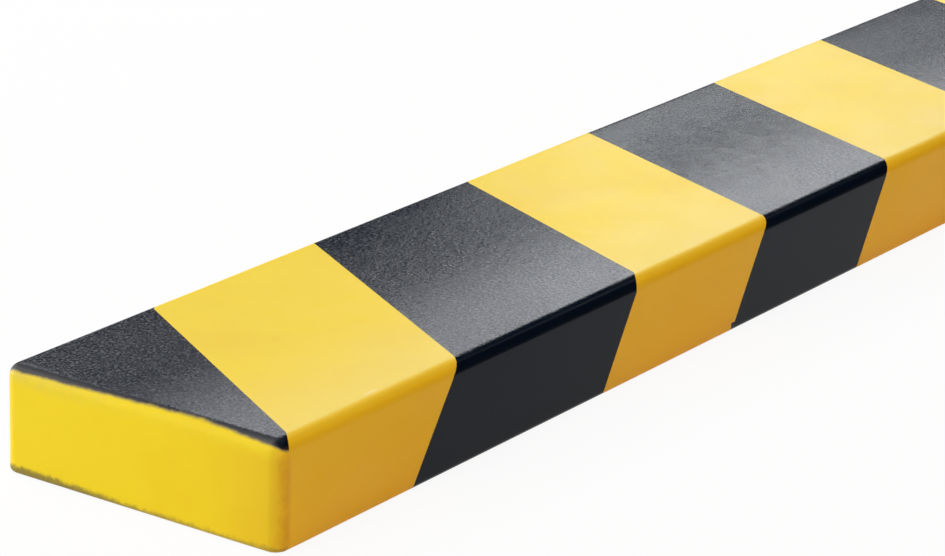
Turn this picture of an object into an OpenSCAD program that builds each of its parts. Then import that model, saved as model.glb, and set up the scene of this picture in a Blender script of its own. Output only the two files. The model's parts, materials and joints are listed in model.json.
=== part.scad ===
// Impact protection profile: a straight bumper of moulded, self-skinning foam.
// It has a flat back, a rectangular section with rounded edges, and diagonal warning stripes
// that lie flush in its skin. It lies on its back: X runs along it, Z points out of the back, and
// the origin is in the middle of the back.

/* [Moulding] */
// Length of the profile
profile_len = 1000; // [350:10:2000]
// Width of the flat back
profile_w = 60; // [40:1:90]
// Thickness from the back to the front face
profile_h = 20; // [14:0.5:40]
// Radius of the edges round the front face and of the four upright corners
edge_r = 2.6; // [1.6:0.1:4]
// Radius of the edges round the back
back_r = 1; // [0.6:0.1:1.3]

/* [Stripes] */
// Depth to which the black coat reaches into the skin
coat_t = 0.4; // [0.2:0.05:0.5]
// Distance between two colour changes, along the rear edge of the front face
stripe_pitch = 46.6; // [40:0.1:70]
// Where the first colour change meets the rear edge of the front face
first_change = 38.8; // [36:0.1:45]
// Angle between a colour change on the front face and a straight line across the profile
stripe_angle = 23.4; // [10:0.1:35]
// The same angle for the changes at the near end, which have a mask of their own
end_angle = 30.6; // [20:0.1:35]
// Angle between a colour change on a side and the upright
side_angle = 30.7; // [10:0.1:40]
// The same angle for the changes at the near end
end_side_angle = 33.7; // [10:0.1:40]
// The same angle where the very first change stops, just over the near corner
corner_angle = 17; // [10:0.1:40]
// How many changes the mask at the near end holds
end_changes = 2; // [1:1:3]
// How far from an end the black coat stops, on the rounding of its edge
end_bare = 1.05; // [0.5:0.05:1.3]
// How far down the rounding the first black field reaches, at the near corner
corner_reach = 1.8; // [1:0.1:2.2]

/* [Hidden] */
$fn = 96;
// Small shifts of the first colour changes, because each was masked by hand
mask_slip = [0, 0.5, 3, -0.5, 1.5, 0, 2.5];
// Small turns of the same changes on the front face, in degrees
mask_turn = [0, 0, 0.8, -0.7, 0.2, 0, 0];
// How far a cutting shape reaches past what it cuts
over = 5;
// Half of the width, which is where the two sides are
half_w = profile_w / 2;
// Height at which the front rounding runs into a side
side_top = profile_h - edge_r;
// Half of the width of the flat part of the front face
flat_w = half_w - edge_r;
// A place before the near end that no colour change leans back to
before_end = -profile_w - profile_h - over;
// Number of black fields along the whole profile, the one at the near end included
fields = ceil((profile_len + profile_w) / (2 * stripe_pitch)) + 1;

// Small shift and turn of colour change number i
function slip(i) = i < len(mask_slip) ? mask_slip[i] : 0;
function turn(i) = i < len(mask_turn) ? mask_turn[i] : 0;
// Run of colour change number i along the profile, for each step across the front face
function front_slope(i) = tan((i < end_changes ? end_angle : stripe_angle) + turn(i));
// Its run for each step down side s, which is -1 on the near side and 1 on the far one
function side_slope(i, s) =
    tan(i == 0 && s < 0 ? corner_angle : i < end_changes ? end_side_angle : side_angle);
// Place of colour change number i on the front face, at y
function front_x(i, y) = first_change + i * stripe_pitch + slip(i) + front_slope(i) * (y - half_w);
// Its place on side s, at height z. Without the rounding, both lines would meet on the edge.
function side_x(i, s, z) = front_x(i, s * half_w) + s * side_slope(i, s) * (profile_h - z);
// Corners of colour change number i, seen from above and listed from the near side to the far one.
// It runs straight over each rounding. Past the sides it goes straight out, so that it leaves the
// front exactly where it starts down the side.
function change_line(i) = [
    [side_x(i, -1, side_top), -half_w - over],
    [side_x(i, -1, side_top), -half_w],
    [front_x(i, -flat_w), -flat_w],
    [front_x(i, flat_w), flat_w],
    [side_x(i, 1, side_top), half_w],
    [side_x(i, 1, side_top), half_w + over]
];
// The same corners from the far side back to the near one
function turned_back(line) = [for (n = [len(line) - 1 : -1 : 0]) line[n]];

// Outline of a block of width w and height h: upper corners of radius r, lower ones of radius foot
module outline(w, h, r, foot) {
    translate([-w / 2, foot]) square([w, h - r - foot]);
    translate([-w / 2 + r, foot]) square([w - 2 * r, h - foot]);
    for (s = [-1, 1]) translate([s * (w / 2 - r), h - r]) circle(r);
    if (foot > 0) {
        translate([-w / 2 + foot, 0]) square([w - 2 * foot, 2 * foot]);
        for (s = [-1, 1]) translate([s * (w / 2 - foot), foot]) circle(foot);
    }
}

// Section through the whole block, and the same section shrunk by the depth of the coat
module block_section() {
    outline(profile_w, profile_h, edge_r, back_r);
}
module core_section() {
    outline(profile_w - 2 * coat_t, profile_h - coat_t, edge_r - coat_t, 0);
}

// The part of a section that lies in the rounding of its right-hand edge, moved to x = 0
module edge_part() {
    intersection() {
        translate([edge_r - half_w, 0]) children();
        square([edge_r, profile_h]);
    }
}

// Carries a section along the profile, across both ends and round the four upright corners
module sweep() {
    long_w = profile_w - 2 * edge_r;
    translate([edge_r, 0, 0]) rotate([90, 0, 90]) linear_extrude(profile_len - 2 * edge_r)
        children();
    for (end = [0, 1]) translate([end * profile_len, 0, 0]) mirror([end, 0, 0]) {
        translate([edge_r, long_w / 2, 0]) rotate([90, 0, 0]) linear_extrude(long_w)
            mirror([1, 0]) edge_part() children();
        translate([edge_r, long_w / 2, 0]) rotate([0, 0, 90]) rotate_extrude(angle = 90)
            edge_part() children();
        translate([edge_r, -long_w / 2, 0]) rotate([0, 0, 180]) rotate_extrude(angle = 90)
            edge_part() children();
    }
}

// Black fields as they lie on the front face, clear of the two ends
module front_fields() {
    reach = half_w + over;
    start_line = [[before_end, -reach], [before_end, reach]];
    intersection() {
        translate([end_bare, -reach]) square([profile_len - 2 * end_bare, 2 * reach]);
        for (k = [0 : fields - 1]) polygon(concat(
            k == 0 ? start_line : change_line(2 * k - 1),
            turned_back(change_line(2 * k))
        ));
    }
}

// The room at the near corner that the first black field leaves yellow, below the front rounding
module corner_room() {
    translate([-over, -half_w - over, -over])
        cube([over + front_x(0, -flat_w), over + edge_r, profile_h + over - corner_reach]);
}

// Black fields as they lie on side s, below the front rounding and clear of the upright corners.
// The field at the near end doesn't reach down the near side.
module side_fields(s) {
    intersection() {
        translate([edge_r, -over]) square([profile_len - 2 * edge_r, side_top + over]);
        for (k = [s < 0 ? 1 : 0 : fields - 1]) {
            from = 2 * k - 1;
            to = 2 * k;
            polygon([
                [k == 0 ? before_end : side_x(from, s, side_top), side_top],
                [side_x(to, s, side_top), side_top],
                [side_x(to, s, -over), -over],
                [k == 0 ? before_end : side_x(from, s, -over), -over]
            ]);
        }
    }
}

// The room of all the black fields, from inside the roundings out past the surface
module field_room() {
    difference() {
        translate([0, 0, side_top]) linear_extrude(edge_r + over) front_fields();
        corner_room();
    }
    for (s = [-1, 1]) {
        outer_y = s < 0 ? edge_r - half_w : half_w + over;
        translate([0, outer_y, 0]) rotate([90, 0, 0]) linear_extrude(edge_r + over) side_fields(s);
    }
}

// Everything is laid out from the near end. This moves it to the origin in the middle of the back.
module centred() {
    translate([-profile_len / 2, 0, 0]) children();
}

// The black coat: one field for each stripe, wrapped over the rounded edges, flush with the yellow
module black_stripes() {
    color("dimgray") centred() intersection() {
        sweep() difference() {
            block_section();
            core_section();
        }
        field_room();
    }
}

// The foam itself, yellow all through its skin, with a shallow seat for each black field
module foam_profile() {
    color("gold") difference() {
        centred() sweep() block_section();
        black_stripes();
    }
}

foam_profile();
black_stripes();
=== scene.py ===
# An impact protection profile: a yellow foam bumper with black stripes, as it lies on a pale table.
import json
import math

import bpy
import numpy as np
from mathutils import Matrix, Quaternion, Vector

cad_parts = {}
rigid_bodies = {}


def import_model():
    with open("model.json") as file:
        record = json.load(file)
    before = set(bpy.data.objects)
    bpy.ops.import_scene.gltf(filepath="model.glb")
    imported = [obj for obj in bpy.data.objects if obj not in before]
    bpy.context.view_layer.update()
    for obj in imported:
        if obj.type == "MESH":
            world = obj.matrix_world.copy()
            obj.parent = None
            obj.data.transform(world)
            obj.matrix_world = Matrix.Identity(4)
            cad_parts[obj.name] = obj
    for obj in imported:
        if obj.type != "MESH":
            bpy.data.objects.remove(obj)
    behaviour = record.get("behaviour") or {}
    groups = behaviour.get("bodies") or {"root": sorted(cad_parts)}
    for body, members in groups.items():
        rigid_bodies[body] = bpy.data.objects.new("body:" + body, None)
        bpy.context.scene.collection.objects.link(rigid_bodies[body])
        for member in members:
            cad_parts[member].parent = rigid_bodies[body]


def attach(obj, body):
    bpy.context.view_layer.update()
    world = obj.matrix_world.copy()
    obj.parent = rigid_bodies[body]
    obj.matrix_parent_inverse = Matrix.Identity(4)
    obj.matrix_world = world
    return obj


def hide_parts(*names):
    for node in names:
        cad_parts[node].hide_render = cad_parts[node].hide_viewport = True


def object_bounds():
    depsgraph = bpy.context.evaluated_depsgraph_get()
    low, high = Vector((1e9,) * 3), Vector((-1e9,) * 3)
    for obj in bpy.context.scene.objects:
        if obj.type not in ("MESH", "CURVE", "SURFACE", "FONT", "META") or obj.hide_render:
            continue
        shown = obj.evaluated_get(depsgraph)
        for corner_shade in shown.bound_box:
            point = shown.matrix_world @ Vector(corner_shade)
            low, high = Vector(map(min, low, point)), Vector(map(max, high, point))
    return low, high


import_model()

cad_low, cad_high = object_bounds()


# The moulding: one length of self-skinning polyurethane foam, poured into a milled mould. Its coat was
# sprayed into the mould first, so it is part of the skin: satin yellow, and a little cloudy. It has a
# flat back, a plain section and rounded edges, and it lies on its back.
MM = 0.001
length, width, height = cad_high - cad_low
near_end, far_end = cad_low.x, cad_high.x
half_w = width / 2
edge_r = 2.6 * MM
back_r = 1.0 * MM
flat_w = half_w - edge_r
side_top = height - edge_r
edge_steps = 10
back_steps = 4
# Each round of dividing the skin: an axis, and the number of cuts in every long edge along it
skin_rows = ((0, 2), (0, 82), (1, 13), (2, 8))
# What is closer than this counts as the same place
hair = 0.01 * MM
yellow = (0.92, 0.685, 0.010, 1)
deep_yellow = (0.89, 0.63, 0.007, 1)
# Painted shade at the near upright corner
corner_shade_amber = (0.80, 0.47, 0.012, 1)
# Painted sheen on the front face
painted_sheen_yellow = (0.92, 0.74, 0.22, 1)
# Painted light on the roundings, and painted shade on the sides
painted_edge_light = (0.97, 0.66, 0.02, 1)
shaded_side_yellow = (0.90, 0.61, 0.008, 1)
pale_dust = (0.66, 0.54, 0.13, 1)
# A painted highlight
glint_colour = (0.98, 0.80, 0.33, 1)
brown_dust = (0.26, 0.20, 0.09, 1)
olive = (0.31, 0.235, 0.035, 1)
dusty_black = (0.072, 0.071, 0.072, 1)
black_paint = (0.002, 0.006, 0.015, 1)
# Its coat has soft clouds of colour, and ripples and a fine grain of next to no depth
cloud_size = 26 * MM
gloss_size = 9 * MM
ripple_size = 4 * MM
coat_grain = 0.4 * MM
ripple_depth = 0.05 * MM
# Where the black coat was masked off at the near end, it stops on the rounding along a wavy line
mask_edge = height - 0.26 * MM
mask_top_y = -12 * MM
far_sag = 0.7 * MM
near_sag = 0.6 * MM
corner_drop = 0.16 / MM
wave_size = 2.2 * MM
wave_height = 0.5 * MM
# Where the first colour change crosses the near edge: its place, and its run for each step round it
corner_line = near_end + 4.85 * MM
corner_run = 0.9
# Where the dust stops, just short of the near corner, and how soft that is
tip_y = -27.9 * MM
tip_blur = 0.5 * MM
# The marks on it: dust on the end face, a darker olive foot there, a dab of overspill, and a painted
# highlight on the near edge
veil_low = height - 4.5 * MM
veil_high = height - 1.2 * MM
foot_height = 2.2 * MM
foot_fade = 1.1 * MM
overspill_x = near_end + 141.7 * MM
overspill_z = 1.0 * MM
overspill_size = 0.85 * MM
glint_x = near_end + 28.3 * MM
glint_y = -27.1 * MM


def deselect_all():
    """Leaves object mode with nothing selected, so that an operator acts only on what is picked."""
    if bpy.context.object and bpy.context.object.mode != "OBJECT":
        bpy.ops.object.mode_set(mode="OBJECT")
    bpy.ops.object.select_all(action="DESELECT")


def pick(piece, parts, wanted):
    """Opens a piece in edit mode with some of its edges or polygons selected, by a row of flags."""
    deselect_all()
    bpy.context.view_layer.objects.active = piece
    piece.select_set(True)
    for kind in (piece.data.vertices, piece.data.edges, piece.data.polygons):
        kind.foreach_set("select", np.zeros(len(kind), bool))
    getattr(piece.data, parts).foreach_set("select", wanted)
    bpy.context.tool_settings.mesh_select_mode = (False, parts == "edges", parts == "polygons")
    bpy.ops.object.mode_set(mode="EDIT")


def points(piece):
    """The place of every vertex, one row each."""
    spots = np.empty(3 * len(piece.data.vertices), np.float32)
    piece.data.vertices.foreach_get("co", spots)
    return spots.reshape(-1, 3).astype(float)


def middles(piece):
    """The middle of every face, one row each."""
    spots = np.empty(3 * len(piece.data.polygons), np.float32)
    piece.data.polygons.foreach_get("center", spots)
    return spots.reshape(-1, 3).astype(float)


def edge_ends(piece):
    """The two ends of every edge, as two arrays with one row each."""
    pairs = np.empty(2 * len(piece.data.edges), np.int32)
    piece.data.edges.foreach_get("vertices", pairs)
    spots = points(piece)
    return spots[pairs[0::2]], spots[pairs[1::2]]


def cut(piece, wanted, spot, across):
    """Cuts the faces that the flags pick, along the plane through a spot and square to a direction."""
    if wanted.any():
        pick(piece, "polygons", wanted)
        bpy.ops.mesh.bisect(plane_co=spot, plane_no=Vector(across).normalized(), threshold=hair / 10)
        bpy.ops.object.mode_set(mode="OBJECT")


deselect_all()
bpy.ops.mesh.primitive_cube_add(size=1, location=(0, 0, height / 2), scale=(length, width, height))
bpy.ops.object.transform_apply(location=True, rotation=True, scale=True)
foam = bpy.context.object
foam.name = foam.data.name = "foam_moulding"

# One cutter milled the mould, so the front edges and the four upright corners share a radius
first, second = edge_ends(foam)
pick(foam, "edges", (first[:, 2] > hair) | (second[:, 2] > hair))
bpy.ops.mesh.bevel(offset=edge_r, segments=edge_steps, profile=0.5, affect="EDGES")
bpy.ops.object.mode_set(mode="OBJECT")

# The edge round the back is only broken
first, second = edge_ends(foam)
pick(foam, "edges", (first[:, 2] < hair) & (second[:, 2] < hair))
bpy.ops.mesh.bevel(offset=back_r, segments=back_steps, profile=0.5, affect="EDGES")
bpy.ops.object.mode_set(mode="OBJECT")

# Lines across the back, where the roundings of the corners begin, make its middle a plain rectangle
for side in (-1, 1):
    cut(foam, middles(foam)[:, 2] < hair, (side * (far_end - edge_r), 0, 0), (1, 0, 0))
    cut(foam, middles(foam)[:, 2] < hair, (0, side * flat_w, 0), (0, 1, 0))

# Rows of points all round the skin, close enough for soft hollows: all edges that run along an axis
# and are about as long as the longest are cut into equal parts
for axis, cuts in skin_rows:
    first, second = edge_ends(foam)
    run = np.abs(second - first)
    straight = np.delete(run, axis, 1).max(1) < hair
    pick(foam, "edges", straight & (run[:, axis] > 0.9 * run[straight, axis].max()))
    bpy.ops.mesh.subdivide(number_cuts=cuts)
    bpy.ops.object.mode_set(mode="OBJECT")


def add_node(tree, kind, sockets=None, **settings):
    """A new node in a material, its settings, and its sockets filled with values or other sockets."""
    made = tree.nodes.new(kind)
    for name, value in settings.items():
        setattr(made, name, value)
    for name, value in (sockets or {}).items():
        if isinstance(value, bpy.types.NodeSocket):
            tree.links.new(value, made.inputs[name])
        else:
            made.inputs[name].default_value = value
    return made


def noise(tree, spot, size, detail=2.0, rough=0.5, twist=0.0):
    """Noise from 0 to 1, with features of about a given size."""
    sockets = {"Vector": spot, "Scale": 1 / size, "Detail": detail, "Roughness": rough,
               "Distortion": twist}
    return add_node(tree, "ShaderNodeTexNoise", sockets).outputs["Fac"]


def ramp(tree, value, low, high, to_low=0.0, to_high=1.0):
    """A value taken smoothly from one range to another, and held at its ends."""
    sockets = {"Value": value, "From Min": low, "From Max": high, "To Min": to_low, "To Max": to_high}
    return add_node(tree, "ShaderNodeMapRange", sockets, interpolation_type="SMOOTHSTEP").outputs[0]


def reckon(tree, operation, *values):
    """One step of arithmetic."""
    sockets = dict(enumerate(values))
    return add_node(tree, "ShaderNodeMath", sockets, operation=operation).outputs[0]


def apart(tree, value, place):
    """How far a value is from a place on its axis."""
    return reckon(tree, "ABSOLUTE", reckon(tree, "SUBTRACT", value, place))


def blend(tree, share, low, high):
    """A value between two others, by a share from 0 to 1."""
    return add_node(tree, "ShaderNodeMix", {"Factor": share, 2: low, 3: high}).outputs[0]


def lay_over(tree, share, under, over):
    """One colour laid over another, by a share from 0 to 1."""
    sockets = {"Factor": share, 6: under, 7: over}
    return add_node(tree, "ShaderNodeMix", sockets, data_type="RGBA").outputs[2]


def new_finish(name):
    """An empty material, with its tree, its shader, the place on the piece, and x, y and z there."""
    finish = bpy.data.materials.new(name)
    finish.use_nodes = True
    tree = finish.node_tree
    place = add_node(tree, "ShaderNodeTexCoord")
    axes = add_node(tree, "ShaderNodeSeparateXYZ", {0: place.outputs["Object"]}).outputs
    return finish, tree, tree.nodes["Principled BSDF"], place, axes


def black_dust(tree, place, axes, under, over, elsewhere):
    """Lays the black over the yellow at the near end, above a wavy line on the rounding of the edge.
    It fades out in brown dust. The line sags towards both corners and drops as it turns round them.
    Both coats use it, so they meet with no step. Elsewhere, either all is black or none of it is."""
    past_corner = reckon(tree, "SUBTRACT", reckon(tree, "ABSOLUTE", axes["Y"]), flat_w)
    past_corner = reckon(tree, "MAXIMUM", past_corner, 0.0)
    drop = reckon(tree, "MULTIPLY", reckon(tree, "POWER", past_corner, 2.0), corner_drop)
    drop = reckon(tree, "ADD", drop, ramp(tree, axes["Y"], mask_top_y, half_w, 0.0, far_sag))
    drop = reckon(tree, "ADD", drop, ramp(tree, axes["Y"], -half_w, mask_top_y, near_sag, 0.0))
    waves = reckon(tree, "MULTIPLY_ADD", noise(tree, place.outputs["Object"], wave_size, 3.0, 0.6),
                   wave_height, -wave_height / 2)
    above = reckon(tree, "ADD", reckon(tree, "SUBTRACT", axes["Z"], mask_edge), drop)
    cover = reckon(tree, "ADD", above, waves)
    line = reckon(tree, "MULTIPLY_ADD", reckon(tree, "ADD", axes["Y"], flat_w), corner_run, corner_line)
    near_side = reckon(tree, "LESS_THAN", axes["Y"], -flat_w)
    reach = blend(tree, near_side, near_end + edge_r, line)
    counts = reckon(tree, "LESS_THAN", axes["X"], reach)
    colour = under
    for dust, low, high in ((brown_dust, -0.5 * MM, 0.04 * MM), (over, -0.16 * MM, 0.12 * MM)):
        share = reckon(tree, "MULTIPLY", ramp(tree, cover, low, high), counts)
        if elsewhere:
            share = reckon(tree, "ADD", share, reckon(tree, "SUBTRACT", 1.0, counts))
        colour = lay_over(tree, share, colour, dust)
    return colour


finish, tree, shader, place, axes = new_finish("yellow_coat")
spot = place.outputs["Object"]
cloudy = noise(tree, spot, cloud_size, 3.0, 0.55, 0.4)
colour = lay_over(tree, ramp(tree, cloudy, 0.42, 0.72, 0.0, 0.8), yellow, deep_yellow)
# Painted sheen: the front face is whitened a little, most of it towards its near edge
facing = add_node(tree, "ShaderNodeSeparateXYZ", {0: place.outputs["Normal"]}).outputs
yellow_sheen_share = reckon(tree, "MULTIPLY", ramp(tree, axes["Y"], 0.0, -half_w, 0.08, 0.5),
              ramp(tree, facing["Z"], 0.96, 0.998))
colour = lay_over(tree, yellow_sheen_share, colour, painted_sheen_yellow)
# Painted light: the roundings and the foot of the sides are a brighter gold. Painted shade: the sides are
# deeper in colour towards the front face
outward = reckon(tree, "ABSOLUTE", facing["Y"])
colour = lay_over(tree, ramp(tree, outward, 0.15, 0.5), colour, painted_edge_light)
side_shade_share = reckon(tree, "MULTIPLY", ramp(tree, outward, 0.75, 0.95),
                  ramp(tree, axes["Z"], 1 * MM, 14 * MM, 0.15, 1.0))
colour = lay_over(tree, side_shade_share, colour, shaded_side_yellow)
# A veil of pale dust lies on the end face under the black, most of it towards the far corner
at_end = reckon(tree, "LESS_THAN", axes["X"], near_end + edge_r)
veil = reckon(tree, "MULTIPLY", ramp(tree, axes["Z"], veil_low, veil_high),
              ramp(tree, axes["Y"], 0.0, half_w, 0.1, 0.6))
veil = reckon(tree, "MULTIPLY", veil, ramp(tree, noise(tree, spot, 2.5 * MM, 4.0, 0.6), 0.2, 0.8, 0.3))
colour = lay_over(tree, reckon(tree, "MULTIPLY", veil, at_end), colour, pale_dust)
# The black over it is dusty, and plain at the tip of the near corner
at_tip = ramp(tree, axes["Y"], tip_y + tip_blur, tip_y - tip_blur)
colour = black_dust(tree, place, axes, colour, lay_over(tree, at_tip, dusty_black, black_paint), False)
# Painted shade: the near upright corner is a darker amber, and the end face is a little darker towards it
corner_shade = reckon(tree, "MULTIPLY", ramp(tree, axes["Y"], -27.9 * MM, -29.8 * MM),
                ramp(tree, axes["X"], near_end + 3.8 * MM, near_end + 2.2 * MM))
corner_shade = reckon(tree, "MULTIPLY", corner_shade, ramp(tree, noise(tree, spot, 3 * MM, 3.0, 0.6), 0.3, 0.6, 0.5))
end_face_shade = reckon(tree, "MULTIPLY", ramp(tree, axes["Y"], -12 * MM, -27 * MM, 0.0, 0.45), at_end)
corner_shade = reckon(tree, "MAXIMUM", corner_shade, end_face_shade)
corner_shade = reckon(tree, "MULTIPLY", corner_shade,
                ramp(tree, axes["Z"], side_top - 1.5 * MM, side_top + 0.8 * MM, 1.0, 0.0))
colour = lay_over(tree, corner_shade, colour, corner_shade_amber)
# The foot of the end is darker olive, in a ragged band
ragged = reckon(tree, "MULTIPLY_ADD", noise(tree, spot, 2.0 * MM, 4.0, 0.65), foot_height, axes["Z"])
ragged = reckon(tree, "ADD", ragged, ramp(tree, axes["Y"], -10 * MM, half_w, 0.7 * MM, 0.0))
foot = ramp(tree, ragged, foot_height, foot_height + foot_fade, 1.0, 0.0)
foot = reckon(tree, "MULTIPLY", foot, ramp(tree, axes["Y"], -16 * MM, 20 * MM, 0.55, 1.0))
colour = lay_over(tree, reckon(tree, "MULTIPLY", foot, at_end), colour, olive)
# A dab of black crept under the mask at the foot of the near side
dab = reckon(tree, "MAXIMUM", apart(tree, axes["X"], overspill_x), apart(tree, axes["Z"], overspill_z))
dab = reckon(tree, "MULTIPLY", ramp(tree, dab, 0.9 * overspill_size, overspill_size, 1.0, 0.0),
             reckon(tree, "LESS_THAN", axes["Y"], -flat_w))
colour = lay_over(tree, dab, colour, black_paint)
# Painted highlight: a short pale glint lies on the near edge of the first yellow field
painted_glint = reckon(tree, "MULTIPLY",
               ramp(tree, apart(tree, axes["X"], glint_x), 0.8 * MM, 2.4 * MM, 0.8, 0.0),
               ramp(tree, apart(tree, axes["Y"], glint_y), 0.1 * MM, 0.4 * MM, 1.0, 0.0))
colour = lay_over(tree, painted_glint, colour, glint_colour)
tree.links.new(colour, shader.inputs["Base Color"])
# It is a little duller towards the near edge, in patches, and on the back
dull_back = ramp(tree, axes["Z"], 0.1 * MM, 0.6 * MM, 0.2, 0.0)
gloss = reckon(tree, "ADD", ramp(tree, axes["Y"], half_w, -half_w, 0.36, 0.42),
               ramp(tree, noise(tree, spot, gloss_size, 3.0), 0.3, 0.7, 0.0, 0.08))
tree.links.new(reckon(tree, "ADD", gloss, dull_back), shader.inputs["Roughness"])
fine = reckon(tree, "MULTIPLY", noise(tree, spot, coat_grain), 0.12)
relief = reckon(tree, "ADD", fine, noise(tree, spot, ripple_size))
bump = add_node(tree, "ShaderNodeBump", {"Strength": 1.0, "Distance": ripple_depth, "Height": relief})
tree.links.new(bump.outputs["Normal"], shader.inputs["Normal"])
shader.inputs["IOR"].default_value = 1.27
foam.data.materials.clear()
foam.data.materials.append(finish)

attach(foam, "root")
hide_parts("foam_profile")


# The stripes: black coat, masked and sprayed into the mould before the foam went in. It lies flush in
# the skin, in separate fields that wrap over the edges, and stops on the rounding of each end. It is
# finely grained on the front face, where the mould was blasted, and smooth on the edges and sides.
coat_t = 0.4 * MM
stripe_pitch = 46.6 * MM
first_change = 38.8 * MM
end_changes = 2
front_angles = (30.6, 23.4)
side_angles = (33.7, 30.7)
corner_angle = 17
mask_slip = (0, 0.5, 3, -0.5, 1.5, 0, 2.5)
mask_turn = (0, 0, 0.8, -0.7, 0.2, 0, 0)
mask_bow = (0, 0.27, 0, 0.4)
common_bow = 0.22
end_bare = 1.05 * MM
corner_reach = 1.8 * MM
foot_bare = 0.1 * MM
changes = math.ceil((length + width) / stripe_pitch)
grey_specks = (0.14, 0.15, 0.165, 1)
# Painted sheen on the grain towards the near edge
sheen_grey = (0.29, 0.31, 0.34, 1)
# The grain on the front face: crooked granules, finer creases, and patches where it is coarser. The
# gloss changes a little from place to place too, on the smooth parts and on the grain.
granule_size = 0.7 * MM
crease_size = 0.5 * MM
patch_size = 3.4 * MM
crook_size = 0.8 * MM
crook = 0.9 * MM
grain_depth = 0.08 * MM
smooth_size = 7 * MM
coarse_size = 11 * MM
# The hollows in the skin of the foam, and the pressed foot at the near corner
hollow_size = 40 * MM
hollow_depth = 0.09 * MM
press_size = 4 * MM
press_depth = 0.5 * MM
press_reach = 3 * MM
# Steps round a rounding, in which a colour change curves over it
steps = np.linspace(0, math.pi / 2, 6)
step_y = flat_w + edge_r * np.sin(steps)


def front_slope(change):
    """How far a colour change runs along the profile, for each step across the front face."""
    turn = mask_turn[change] if change < len(mask_turn) else 0
    return math.tan(math.radians(front_angles[change >= end_changes] + turn))


def side_slope(change, side):
    """The same for each step down a side, which is -1 for the near side and 1 for the far one."""
    angle = side_angles[change >= end_changes]
    if change == 0 and side < 0:
        angle = corner_angle
    return math.tan(math.radians(angle))


def front_x(change, y):
    """Where a colour change lies on the flat of the front face, at y."""
    slip = mask_slip[change] * MM if change < len(mask_slip) else 0
    start = near_end + first_change + change * stripe_pitch + slip
    return start + front_slope(change) * (y - half_w)


def side_x(change, side, z):
    """Where it lies on a side, at height z."""
    return front_x(change, side * half_w) + side * side_slope(change, side) * (height - z)


def step_x(change, side):
    """Where it lies at each step round the rounding between the front face and a side. The masking
    tape bowed out a little there, by a share of its own for each change."""
    bow = mask_bow[change] if change < len(mask_bow) else common_bow
    start = front_x(change, side * flat_w)
    run = side_x(change, side, side_top) - start
    return start + (np.sin(steps) - bow * np.sin(2 * steps)) * run


def on_front(spots):
    """Flags for the front face and the roundings round it."""
    return spots[:, 2] > side_top + hair


def on_side(spots, side):
    """Flags for one straight side, between its corners and with its broken edge at the back."""
    straight = np.abs(spots[:, 0]) < far_end - edge_r
    return straight & ~on_front(spots) & (side * spots[:, 1] > flat_w) & (spots[:, 2] > hair)


def near_corner(spots):
    """Flags for the front roundings at the near corner, where the first black field ends."""
    return on_front(spots) & (spots[:, 1] < -flat_w) & (spots[:, 0] < front_x(0, -flat_w))


def cut_change(piece, change):
    """Cuts one colour change into the skin, on the front face, over the roundings and down the sides."""
    spots = middles(piece)
    start, end = front_x(change, -flat_w), front_x(change, flat_w)
    flat = on_front(spots) & (np.abs(spots[:, 1]) < flat_w)
    cut(piece, flat, (start, -flat_w, 0), (2 * flat_w, start - end, 0))
    for side in (-1, 1):
        line = step_x(change, side)
        for step in range(len(steps) - 1):
            spots = middles(piece)
            past = side * spots[:, 1]
            rounding = on_front(spots) & (past > step_y[step]) & (past < step_y[step + 1])
            run = step_y[step + 1] - step_y[step]
            cut(piece, rounding, (line[step], side * step_y[step], 0),
                (run, side * (line[step] - line[step + 1]), 0))
        wall = on_side(middles(piece), side)
        cut(piece, wall, (line[-1], 0, side_top), (1, 0, side * side_slope(change, side)))


for change in range(changes):
    cut_change(foam, change)
for end in (near_end + end_bare, far_end - end_bare):
    cut(foam, on_front(middles(foam)), (end, 0, 0), (1, 0, 0))
cut(foam, near_corner(middles(foam)), (0, 0, height - corner_reach), (0, 0, 1))


def coated(spots):
    """Flags for the middles of faces that are black, which have an even number of changes before them."""
    x, y, z = spots.T
    passed = np.zeros(len(spots), int)
    for change in range(changes):
        line = front_x(change, y)
        for side in (-1, 1):
            rounding = on_front(spots) & (side * y > flat_w)
            line = np.where(rounding, np.interp(side * y, step_y, step_x(change, side)), line)
            line = np.where(on_side(spots, side), side_x(change, side, z), line)
        passed += x > line
    below = near_corner(spots) & (z < height - corner_reach)
    front = on_front(spots) & (np.abs(x) < far_end - end_bare) & ~below
    walls = (on_side(spots, -1) & (passed > 0)) | on_side(spots, 1)
    return (front | (walls & (z > foot_bare))) & (passed % 2 == 0)


black = coated(middles(foam))
foam.data.attributes.new("coated", "BOOLEAN", "FACE").data.foreach_set("value", black)


def flags(piece, name):
    """The flags that a piece keeps for its faces under a name."""
    kept = np.zeros(len(piece.data.polygons), bool)
    piece.data.attributes[name].data.foreach_get("value", kept)
    return kept


def weigh_down(piece, name, weights):
    """Keeps a weight for every vertex of a piece, as a vertex group that a modifier can read."""
    group = piece.vertex_groups.new(name=name)
    rounded = np.round(weights, 2)
    for level in np.unique(rounded[rounded > 0]):
        group.add(np.nonzero(rounded == level)[0].tolist(), float(level), "REPLACE")


def apply_modifier(piece, kind, **settings):
    """Adds one modifier, sets it and applies it."""
    deselect_all()
    bpy.context.view_layer.objects.active = piece
    piece.select_set(True)
    modifier = piece.modifiers.new(kind.lower(), kind)
    for name, value in settings.items():
        setattr(modifier, name, value)
    bpy.ops.object.modifier_apply(modifier=modifier.name)


def sink_in(piece, name, weights, size, depth):
    """Lets the skin sink by up to a depth, in soft clouds of one size, as far as the weights say."""
    weigh_down(piece, name, weights)
    texture = bpy.data.textures.new(name, "CLOUDS")
    texture.noise_scale = size
    texture.noise_depth = 1
    apply_modifier(piece, "DISPLACE", texture=texture, texture_coords="LOCAL", vertex_group=name,
                   strength=depth, mid_level=1)
    piece.vertex_groups.remove(piece.vertex_groups[name])


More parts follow.
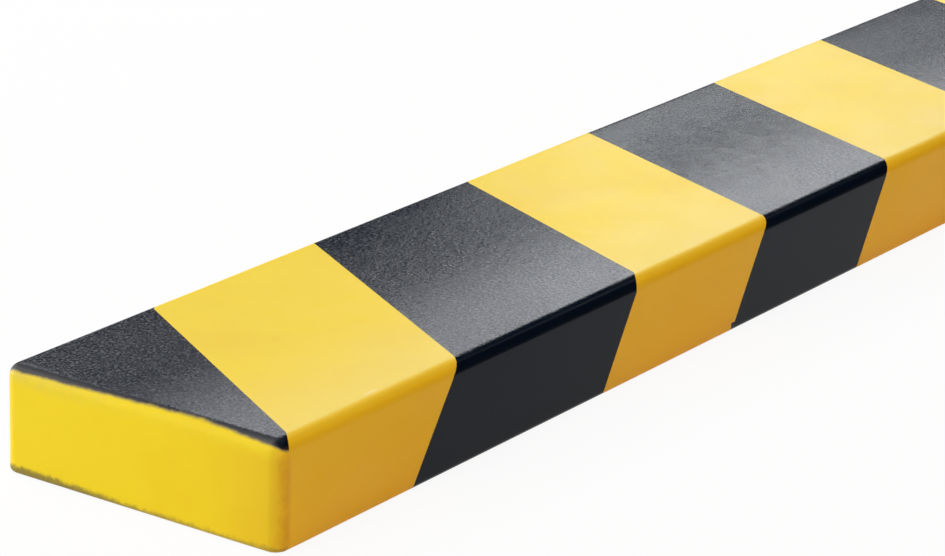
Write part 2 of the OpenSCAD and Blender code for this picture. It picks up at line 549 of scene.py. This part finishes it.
# Foam sinks a little as it cures, so the skin isn't quite even. It is least even at the foot of the
# near corner, where the lid of the mould pressed on it.
spots = points(foam)
sink_in(foam, "hollows", np.clip(spots[:, 2] / (4 * MM), 0, 1), hollow_size, hollow_depth)
spots = points(foam)
from_corner = np.hypot(spots[:, 0] - near_end, spots[:, 1] + half_w)
low = np.clip(1 - np.abs(spots[:, 2] - 4 * MM) / (5 * MM), 0, 1)
close = np.clip(1.5 - from_corner / press_reach, 0, 1)
sink_in(foam, "pressed", low * close, press_size, press_depth)

# The coat is part of the skin: its faces are lifted off as a shell of their own, and what is left
# behind is pressed in by the depth of the coat, as a seat for it
pick(foam, "polygons", flags(foam, "coated"))
bpy.ops.mesh.duplicate()
bpy.ops.mesh.separate(type="SELECTED")
deselect_all()
stripes = next(o for o in bpy.data.objects if o.name.startswith("foam_moulding.") and o != foam)
stripes.name = stripes.data.name = "black_coat"
pick(foam, "polygons", flags(foam, "coated"))
bpy.ops.mesh.extrude_region_shrink_fatten(TRANSFORM_OT_shrink_fatten={"value": -coat_t})
deselect_all()
apply_modifier(stripes, "SOLIDIFY", thickness=coat_t, offset=-1, use_rim=True)
for piece in (foam, stripes):
    piece.data.attributes.remove(piece.data.attributes["coated"])
    deselect_all()
    bpy.context.view_layer.objects.active = piece
    piece.select_set(True)
    bpy.ops.object.shade_smooth_by_angle(angle=math.radians(35))
    apply_modifier(piece, "WEIGHTED_NORMAL", keep_sharp=True)

finish, tree, shader, place, axes = new_finish("black_coat")
spot = place.outputs["Object"]
up = add_node(tree, "ShaderNodeSeparateXYZ", {0: place.outputs["Normal"]}).outputs["Z"]
grained = ramp(tree, up, 0.93, 0.995)
# The grain: flat granules with fine creases between them, in patches that are coarser and finer
crooked = add_node(tree, "ShaderNodeTexNoise", {"Vector": spot, "Scale": 1 / crook_size, "Detail": 2.0})
crooked = add_node(tree, "ShaderNodeVectorMath", {0: crooked.outputs["Color"], "Scale": crook},
                   operation="SCALE").outputs["Vector"]
crooked = add_node(tree, "ShaderNodeVectorMath", {0: crooked, 1: spot}, operation="ADD").outputs[0]
granules = add_node(tree, "ShaderNodeTexVoronoi", {"Vector": crooked, "Scale": 1 / granule_size},
                    feature="SMOOTH_F1").outputs["Distance"]
fine = noise(tree, spot, crease_size, 3.0, 0.65, 0.6)
patches = ramp(tree, noise(tree, spot, patch_size, 3.0, 0.6, 0.5), 0.3, 0.7, 0.6, 1.2)
# It fades towards the far edge, and it is deepest at the near end
patches = reckon(tree, "MULTIPLY", patches, ramp(tree, axes["Y"], 8 * MM, 28 * MM, 1.0, 0.35))
patches = reckon(tree, "MULTIPLY", patches,
                 ramp(tree, axes["X"], near_end + 40 * MM, near_end + 100 * MM, 2.6, 1.0))
relief = reckon(tree, "SUBTRACT", reckon(tree, "MULTIPLY", fine, 0.8), granules)
relief = reckon(tree, "MULTIPLY", relief, patches)
# Its tips catch dust as grey specks, fewer of them further along
specks = reckon(tree, "MULTIPLY", ramp(tree, fine, 0.50, 0.62), grained)
specks = reckon(tree, "MULTIPLY", specks,
                ramp(tree, axes["X"], near_end + 90 * MM, near_end + 170 * MM, 0.8, 0.35))
colour = lay_over(tree, specks, black_paint, grey_specks)
# Painted sheen: towards the near edge the tips of the grain are lighter grey
black_sheen_share = reckon(tree, "MULTIPLY", ramp(tree, axes["Y"], 8 * MM, -24 * MM, 0.0, 0.9),
                ramp(tree, up, 0.97, 0.999))
black_sheen_share = reckon(tree, "MULTIPLY", black_sheen_share, ramp(tree, fine, 0.40, 0.62, 0.5, 1.0))
colour = lay_over(tree, black_sheen_share, colour, sheen_grey)
# The rounding of the near end is matt as well, but for the tip of the near corner
matt_end = reckon(tree, "LESS_THAN", axes["X"], near_end + edge_r)
matt_end = reckon(tree, "MULTIPLY", matt_end, ramp(tree, up, 0.99, 0.8))
matt_end = reckon(tree, "MULTIPLY", matt_end,
                  ramp(tree, axes["Y"], tip_y - tip_blur, tip_y + tip_blur))
colour = lay_over(tree, matt_end, colour, dusty_black)
colour = black_dust(tree, place, axes, yellow, colour, True)
tree.links.new(colour, shader.inputs["Base Color"])
# It is glossy on the edges and sides, and duller on the grain
smooth = ramp(tree, noise(tree, spot, smooth_size, 3.0), 0.3, 0.7, 0.16, 0.22)
coarse = reckon(tree, "ADD", ramp(tree, axes["Y"], half_w, -half_w, 0.22, 0.30),
                ramp(tree, noise(tree, spot, coarse_size, 3.0), 0.3, 0.7, -0.02, 0.03))
rough = blend(tree, matt_end, blend(tree, grained, smooth, coarse), 0.45)
tree.links.new(rough, shader.inputs["Roughness"])
depth = ramp(tree, up, 0.93, 0.995, 0.02, 1.0)
relief = reckon(tree, "MULTIPLY", relief, depth)
bump = add_node(tree, "ShaderNodeBump", {"Strength": 1.0, "Distance": grain_depth, "Height": relief})
tree.links.new(bump.outputs["Normal"], shader.inputs["Normal"])
shader.inputs["IOR"].default_value = 1.17
stripes.data.materials.clear()
stripes.data.materials.append(finish)

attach(stripes, "root")
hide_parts("black_stripes")


# The table: plain, pale and matt. Seen directly or in a reflection it is white, and it keeps the
# shadow of the profile. The room round it is white as well.
table_size = 8.0
table_colour = (0.92, 0.92, 0.92, 1)
# How much of it is plain white where it is seen
table_white = 0.92
# The light that the room itself gives, next to the lamps
room_light = 0.05
plain_white = (1, 1, 1, 1)


def seen_directly(tree):
    """1 for a ray from the camera, or one that left it by a reflection or through glass."""
    rays = add_node(tree, "ShaderNodeLightPath").outputs
    seen = reckon(tree, "MAXIMUM", rays["Is Camera Ray"], rays["Is Glossy Ray"])
    return reckon(tree, "MAXIMUM", seen, rays["Is Transmission Ray"])


deselect_all()
bpy.ops.mesh.primitive_plane_add(size=table_size, location=(0, 0, -hair))
table = bpy.context.object
table.name = table.data.name = "pale_table"
table_finish = bpy.data.materials.new("pale_table")
table_finish.use_nodes = True
tree = table_finish.node_tree
tree.nodes.clear()
matt = add_node(tree, "ShaderNodeBsdfDiffuse", {"Color": table_colour})
white = add_node(tree, "ShaderNodeEmission", {"Color": plain_white, "Strength": 1.0})
share = reckon(tree, "MULTIPLY", seen_directly(tree), table_white)
mixed = add_node(tree, "ShaderNodeMixShader", {0: share, 1: matt.outputs[0], 2: white.outputs[0]})
add_node(tree, "ShaderNodeOutputMaterial", {"Surface": mixed.outputs[0]})
table.data.materials.append(table_finish)

room = bpy.data.worlds.new("room")
bpy.context.scene.world = room
room.use_nodes = True
tree = room.node_tree
tree.nodes.clear()
dim = add_node(tree, "ShaderNodeBackground", {"Color": plain_white, "Strength": room_light})
white = add_node(tree, "ShaderNodeBackground", {"Color": plain_white, "Strength": 1.0})
mixed = add_node(tree, "ShaderNodeMixShader", {0: seen_directly(tree), 1: dim.outputs[0],
                                               2: white.outputs[0]})
add_node(tree, "ShaderNodeOutputWorld", {"Surface": mixed.outputs[0]})


# A dark cloth hangs behind the profile in a wide bow, open towards the camera. The camera doesn't see
# it. It keeps the white room out of the gloss.
cloth_r = 1.7
cloth_h = 2.2
cloth_open_x = -0.25
cloth_black = (0.012, 0.012, 0.012, 1)
deselect_all()
bpy.ops.mesh.primitive_cylinder_add(vertices=48, radius=cloth_r, depth=cloth_h, end_fill_type="NOTHING",
                                    location=(0, 0, cloth_h / 2))
bpy.ops.object.transform_apply(location=True, rotation=True, scale=True)
cloth = bpy.context.object
cloth.name = cloth.data.name = "dark_cloth"
pick(cloth, "polygons", middles(cloth)[:, 0] < cloth_open_x)
bpy.ops.mesh.delete(type="FACE")
bpy.ops.object.mode_set(mode="OBJECT")
cloth_finish = bpy.data.materials.new("dark_cloth")
cloth_finish.use_nodes = True
cloth_shader = cloth_finish.node_tree.nodes["Principled BSDF"]
cloth_shader.inputs["Base Color"].default_value = cloth_black
cloth_shader.inputs["Roughness"].default_value = 0.9
cloth.data.materials.append(cloth_finish)
cloth.visible_camera = False


# A black card lies on the table in front of the profile, made of the same cloth. It shows only in the
# gloss of the near edge, and throws no shadow.
card_y = -0.08
card_depth = 0.7
card_length = 2.4
card_z = 0.5 * MM
deselect_all()
bpy.ops.mesh.primitive_plane_add(size=1, location=(0, card_y - card_depth / 2, card_z))
card = bpy.context.object
card.scale = (card_length, card_depth, 1)
bpy.ops.object.transform_apply(location=True, rotation=True, scale=True)
card.name = card.data.name = "black_card"
card.data.materials.append(cloth_finish)
card.visible_camera = card.visible_diffuse = card.visible_shadow = False


# The lamps: soft rectangles outside the picture, all turned to a place on the near part of the profile.
# Each has an azimuth, an elevation, a distance, a size and a power, and all but three are white.
aim = Vector((near_end + 0.14, 0, height / 2))


def lamp(name, azimuth, elevation, distance, size, power, colour=(1, 1, 1)):
    """A lamp that faces the profile. Its azimuth turns from +X towards +Y."""
    turn, lift = math.radians(azimuth), math.radians(elevation)
    way = Vector((math.cos(turn) * math.cos(lift), math.sin(turn) * math.cos(lift), math.sin(lift)))
    light = bpy.data.lights.new(name, "AREA")
    light.shape = "RECTANGLE"
    light.size, light.size_y = size
    light.energy = power
    light.color = colour
    made = bpy.data.objects.new(name, light)
    bpy.context.scene.collection.objects.link(made)
    made.location = aim + distance * way
    made.rotation_euler = (-way).to_track_quat("-Z", "Y").to_euler()


lamp("key", 190, 54, 1.1, (0.8, 0.6), 4.1)
lamp("top", 90, 75, 1.5, (1.0, 0.8), 5.7)
lamp("back", 60, 38, 1.4, (0.8, 0.5), 4.9)
lamp("low_back", 110, 12, 1.4, (0.8, 0.5), 10.0)
lamp("end_light", 160, 20, 1.4, (0.8, 0.5), 3.2)
lamp("warm_fill", 285, 18, 1.5, (1.0, 0.5), 5.6, (1, 0.35, 0.12))
lamp("sheen", 22.5, 22, 1.0, (0.43, 0.14), 1.4, (0.95, 0.98, 1))
lamp("glow", 28, 30, 1.0, (0.14, 0.14), 0.5, (0.95, 0.98, 1))
lamp("edge_light", 344, 36, 1.2, (0.24, 0.14), 0.1)


# The camera: a long lens that looks down on the near end from the front left. Its place and its turn,
# tilt and roll follow from the long edges and the end face in the photo.
camera_data = bpy.data.cameras.new("camera")
camera_data.lens = 149.13
camera_data.sensor_width = 36
camera_data.clip_start = 0.01
camera = bpy.data.objects.new("camera", camera_data)
bpy.context.scene.collection.objects.link(camera)
camera.location = (-0.96862, -0.39240, 0.25380)
turn, lift, roll = math.radians(34.768), math.radians(19.057), math.radians(1.663)
look = Vector((math.cos(turn) * math.cos(lift), math.sin(turn) * math.cos(lift), -math.sin(lift)))
camera.rotation_mode = "QUATERNION"
camera.rotation_quaternion = look.to_track_quat("-Z", "Y") @ Quaternion((0, 0, 1), roll)
bpy.context.scene.camera = camera
bpy.context.scene.view_settings.view_transform = "Standard"
